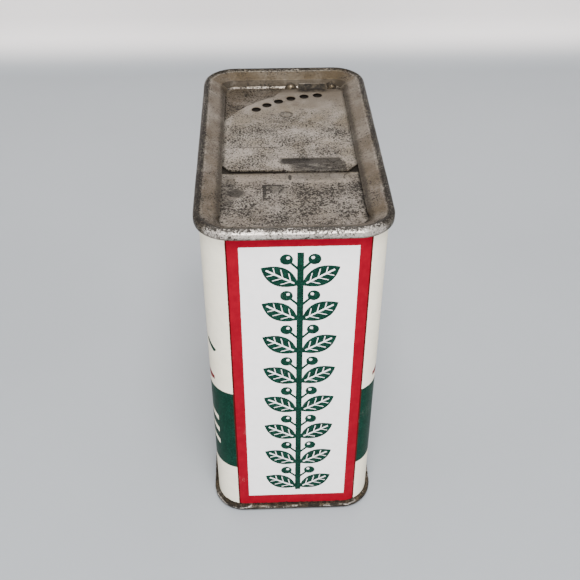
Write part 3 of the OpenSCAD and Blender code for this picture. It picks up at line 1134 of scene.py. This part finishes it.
class TIN_OT_slide_plate(bpy.types.Operator):
    """Builds the slide plate with its sprinkling holes, finger dent and stop tab"""

    bl_idname = "tin.slide_plate"
    bl_label = "Slide plate"

    def execute(self, context):
        sizes, metal = context.scene.tin_sizes, context.scene.tin_metal
        top = (sizes.height - sizes.plate_drop) / MM
        bm = bmesh.new()
        ear, far = 14.05, 26.5
        tab_from, tab_to = 3.2, 9.7
        outline = [(-ear, -12.0), (ear, -12.0), (ear, 21.5), (13.3, 22.5), (13.3, 25.2), (12.0, far)]
        outline += [(tab_to, far), (tab_from, far), (-0.4, far)]
        outline += arc(ARC_CENTRE, 25.9, 118, 153.1, 28) + [(-ear, 9.8)]
        dent = [(-0.6, -11.0), (11.7, -11.0)]
        dent += arc((9.5, -5.4), 0.8, 10, 90, 5) + arc((-1.0, -5.4), 0.8, 90, 170, 5)

        # the flat blank, with a face of its own in the dent, the ring and each hole
        blank_loop = loop(bm, outline, top)
        dent_loop = loop(bm, dent, top)
        ring_loop = loop(bm, arc(RING_CENTRE, 1.6, 0, 348, 29), top)
        hole_r, hole_flare = sizes.hole / MM / 2, 0.3
        first_hole, hole_step = 95.8, 7.68  # in degrees round the arc
        hole_loops = []
        for i in range(sizes.holes):
            centre = on_arc(ARC_CENTRE, sizes.hole_arc / MM, first_hole + hole_step * i)
            hole_loops.append(loop(bm, arc(centre, hole_r + hole_flare, 0, 348, 29), top))
        fill(bm, blank_loop + dent_loop + ring_loop + [e for hole in hole_loops for e in hole])
        floor = face_of(bm, dent_loop)
        for thickness, depth in ((0.13, 0.03), (0.24, 0.12), (0.13, 0.04)):
            sink(bm, floor, thickness, depth)
        ring = face_of(bm, ring_loop)
        for thickness, depth in ((0.14, 0.05), (0.14, 0.03), (0.14, -0.02), (0.16, -0.06)):
            sink(bm, ring, thickness, depth)
        for hole in hole_loops:
            face = face_of(bm, hole)
            sink(bm, face, 0.14, 0.015)
            sink(bm, face, 0.16, 0.055)
            bmesh.ops.delete(bm, geom=[face], context="FACES_ONLY")

        # the near edge and its corners: a point on each cut, and the way that the waste lies
        cuts = [
            ((-12.0, -8.7), (-0.0212, -1.0)),
            ((-12.0, -8.7), (-0.81, -0.586)),
            ((-12.35, -8.45), (-0.5, -0.86)),
            ((11.6, -9.2), (0.762, -0.647)),
            ((11.9, -8.98), (0.42, -0.9)),
        ]
        for point, waste in cuts:
            bmesh.ops.bisect_plane(
                bm,
                geom=bm.verts[:] + bm.edges[:] + bm.faces[:],
                dist=0.0001,
                plane_co=(*point, 0),
                plane_no=(*waste, 0),
                clear_outer=True,
            )

        # the stop tab, bent up from the far edge and rounded at its top corners
        def at_root(vert):
            return abs(vert.co.y - far) < 0.01 and tab_from - 0.01 < vert.co.x < tab_to + 0.01

        root = next(e for e in bm.edges if e.is_boundary and all(at_root(v) for v in e.verts))
        bend, bend_r, rise = math.radians(66), 0.45, 0.98
        bent = bmesh.ops.spin(
            bm,
            geom=[*root.verts, root],
            cent=(0, far, top + bend_r),
            axis=(1, 0, 0),
            angle=bend,
            steps=6,
        )["geom_last"]
        lip = new_parts(bent, bmesh.types.BMEdge)
        for part in (0.45, 0.55):
            offset = (0, part * rise * math.cos(bend), part * rise * math.sin(bend))
            tips, lip = extruded(bm, lip, offset)
        bmesh.ops.bevel(
            bm,
            geom=tips,
            offset=0.4,
            offset_type="OFFSET",
            segments=4,
            profile=0.5,
            affect="VERTICES",
            material=-1,
        )
        bmesh.ops.recalc_face_normals(bm, faces=bm.faces)
        if sum(f.normal.z for f in bm.faces) < 0:
            bmesh.ops.reverse_faces(bm, faces=bm.faces)
        bmesh.ops.solidify(bm, geom=bm.faces[:], thickness=sizes.plate_sheet / MM)
        if max(v.co.z for v in bm.verts if v.co.y < far - 6.5) > top + 0.05:
            raise RuntimeError("the slide plate got its thickness on the wrong side")
        finish = slide_tinplate(metal, sizes)
        finish_piece(bm, "slide_plate_tin", finish, "slide", "slide_plate", 32)
        return {"FINISHED"}


class TIN_OT_bottom_end(bpy.types.Operator):
    """Builds the recessed bottom end with a pressed panel"""

    bl_idname = "tin.bottom_end"
    bl_label = "Bottom end"

    def execute(self, context):
        sizes, metal = context.scene.tin_sizes, context.scene.tin_metal
        half_w, half_d = sizes.width / MM / 2, sizes.depth / MM / 2
        depth, sheet = sizes.base_depth / MM, sizes.sheet / MM
        section = recessed_section(sizes, depth, sizes.base_seam)
        bm = bmesh.new()
        sweep_round(bm, section, section, half_w, half_d, sizes.corner / MM)
        roughen_seam(bm, half_w, half_d, -sizes.seam_height / MM, 0.1)
        for level in (-depth, -depth - sheet):
            panel = face_of(bm, open_edges(bm, level))
            for thickness, sunk in ((0.45, 0.0), (0.25, 0.1), (0.25, 0.12)):
                sink(bm, panel, thickness, sunk)
        bmesh.ops.rotate(bm, cent=(0, 0, 0), matrix=Matrix.Rotation(math.pi, 3, "Y"), verts=bm.verts)
        finish = base_tinplate(metal, sizes)
        finish_piece(bm, "bottom_end_tin", finish, "tin", "bottom_end")
        return {"FINISHED"}


class TIN_OT_studio(bpy.types.Operator):
    """Sets the floor, the backdrop, the lights and the camera"""

    bl_idname = "tin.studio"
    bl_label = "Studio"

    def execute(self, context):
        studio = context.scene.tin_studio
        self.backdrop(context, studio)
        softboxes = (
            ("key", (0.02, -0.20, 0.56), 0.05, 0.22, studio.key),
            ("front", (0.0, -0.6, 0.15), 0.04, 0.36, studio.front),
            ("overhead", (0.0, 0.08, 0.62), 0.05, 0.4, studio.overhead),
            ("side_left", (-0.45, -0.12, 0.46), 0.04, 0.36, studio.sides),
            ("side_right", (0.45, -0.12, 0.46), 0.04, 0.36, studio.sides),
        )
        for name, place, aim_height, size, power in softboxes:
            self.light(context, name, Vector(place), aim_height, size, power)
        world = bpy.data.worlds.new("studio")
        world.use_nodes = True
        sky = world.node_tree.nodes["Background"].inputs
        sky["Color"].default_value = (0.86, 0.88, 0.92, 1)
        sky["Strength"].default_value = studio.ambient
        context.scene.world = world
        self.camera(context, studio)
        return {"FINISHED"}

    def backdrop(self, context, studio):
        """A floor that sweeps up into a wall behind the tin"""
        bm = bmesh.new()
        near, far, half, bend_r, wall = -0.9, 0.20, 1.2, 0.02, 0.8
        edge = [bm.edges.new([bm.verts.new((x, near, 0)) for x in (-half, half)])]
        tips, edge = extruded(bm, edge, (0, far - near, 0))
        bent = bmesh.ops.spin(
            bm, geom=tips + edge, cent=(0, far, bend_r), axis=(1, 0, 0), angle=math.pi / 2, steps=12
        )["geom_last"]
        extruded(bm, new_parts(bent, bmesh.types.BMEdge), (0, 0, wall))
        mesh = bpy.data.meshes.new("studio_floor")
        bm.to_mesh(mesh)
        bm.free()
        mesh.shade_smooth()
        mesh.materials.append(self.paint(studio))
        floor = bpy.data.objects.new("studio_floor", mesh)
        context.scene.collection.objects.link(floor)

    def paint(self, studio):
        """Matt paint, one tone on the floor and another on the wall"""
        material, nodes, shader, place = new_material("studio_paint")
        z = nodes.split(place)[2]
        cloud = nodes.noise(place, 0.012, detail=3.0)
        floor = nodes.mix(nodes.ramp(cloud, 0.35, 0.7), studio.floor, shade(studio.floor, 0.96))
        colour = nodes.mix(nodes.ramp(z, 0.2, 12.0), floor, studio.wall)
        grain = nodes.noise(place, 1.2, detail=3.0)
        roughness = nodes.ramp(cloud, 0.2, 0.8, 0.5, 0.6)
        connect(nodes, shader, colour, roughness, 0.0, grain, 0.00005, 0.2)
        return material

    def light(self, context, name, place, aim_height, size, power):
        """A square softbox, turned to a point on the tin's axis"""
        data = bpy.data.lights.new(name, "AREA")
        data.shape = "SQUARE"
        data.size = size
        data.energy = power
        lamp = bpy.data.objects.new(name, data)
        lamp.location = place
        aim = Vector((0.0, 0.0, aim_height)) - place
        lamp.rotation_euler = aim.to_track_quat("-Z", "Y").to_euler()
        context.scene.collection.objects.link(lamp)

    def camera(self, context, studio):
        """A camera that looks down at the middle of the tin"""
        middle_of_tin = Vector((0.365, -0.551, 39.344)) * MM
        level = math.cos(studio.elevation)
        across, along = math.sin(studio.azimuth) * level, -math.cos(studio.azimuth) * level
        back = Vector((across, along, math.sin(studio.elevation)))
        data = bpy.data.cameras.new("camera")
        data.sensor_width = 36
        data.lens = studio.lens
        data.clip_start = 0.01
        camera = bpy.data.objects.new("camera", data)
        turn = back.to_track_quat("Z", "Y").to_matrix() @ Matrix.Rotation(studio.roll, 3, "Z")
        camera.matrix_world = Matrix.Translation(middle_of_tin + back * studio.distance) @ turn.to_4x4()
        context.scene.collection.objects.link(camera)
        context.scene.camera = camera


class TIN_PT_panel(bpy.types.Panel):
    """Spice tin controls"""

    bl_idname = "TIN_PT_panel"
    bl_label = "Spice Tin"
    bl_space_type = "VIEW_3D"
    bl_region_type = "UI"
    bl_category = "Spice Tin"

    def draw(self, context):
        for operator in OPERATORS:
            self.layout.operator(operator.bl_idname)
        for group_name in GROUPS:
            group = getattr(context.scene, group_name)
            box = self.layout.box()
            for name in group.__annotations__:
                box.prop(group, name)


OPERATORS = (
    TIN_OT_printed_body,
    TIN_OT_top_end,
    TIN_OT_slide_plate,
    TIN_OT_bottom_end,
    TIN_OT_studio,
)
GROUPS = {"tin_sizes": TinSizes, "tin_print": TinPrint, "tin_metal": TinMetal, "tin_studio": TinStudio}


def register():
    for group in GROUPS.values():
        bpy.utils.register_class(group)
    for name, group in GROUPS.items():
        setattr(bpy.types.Scene, name, PointerProperty(type=group))
    for cls in (*OPERATORS, TIN_PT_panel):
        bpy.utils.register_class(cls)


def unregister():
    for cls in (TIN_PT_panel, *OPERATORS):
        bpy.utils.unregister_class(cls)
    for name in GROUPS:
        delattr(bpy.types.Scene, name)
    for group in GROUPS.values():
        bpy.utils.unregister_class(group)


def main():
    register()
    bpy.ops.tin.printed_body()
    bpy.ops.tin.top_end()
    bpy.ops.tin.slide_plate()
    bpy.ops.tin.bottom_end()
    bpy.ops.tin.studio()


if __name__ == "__main__":
    main()
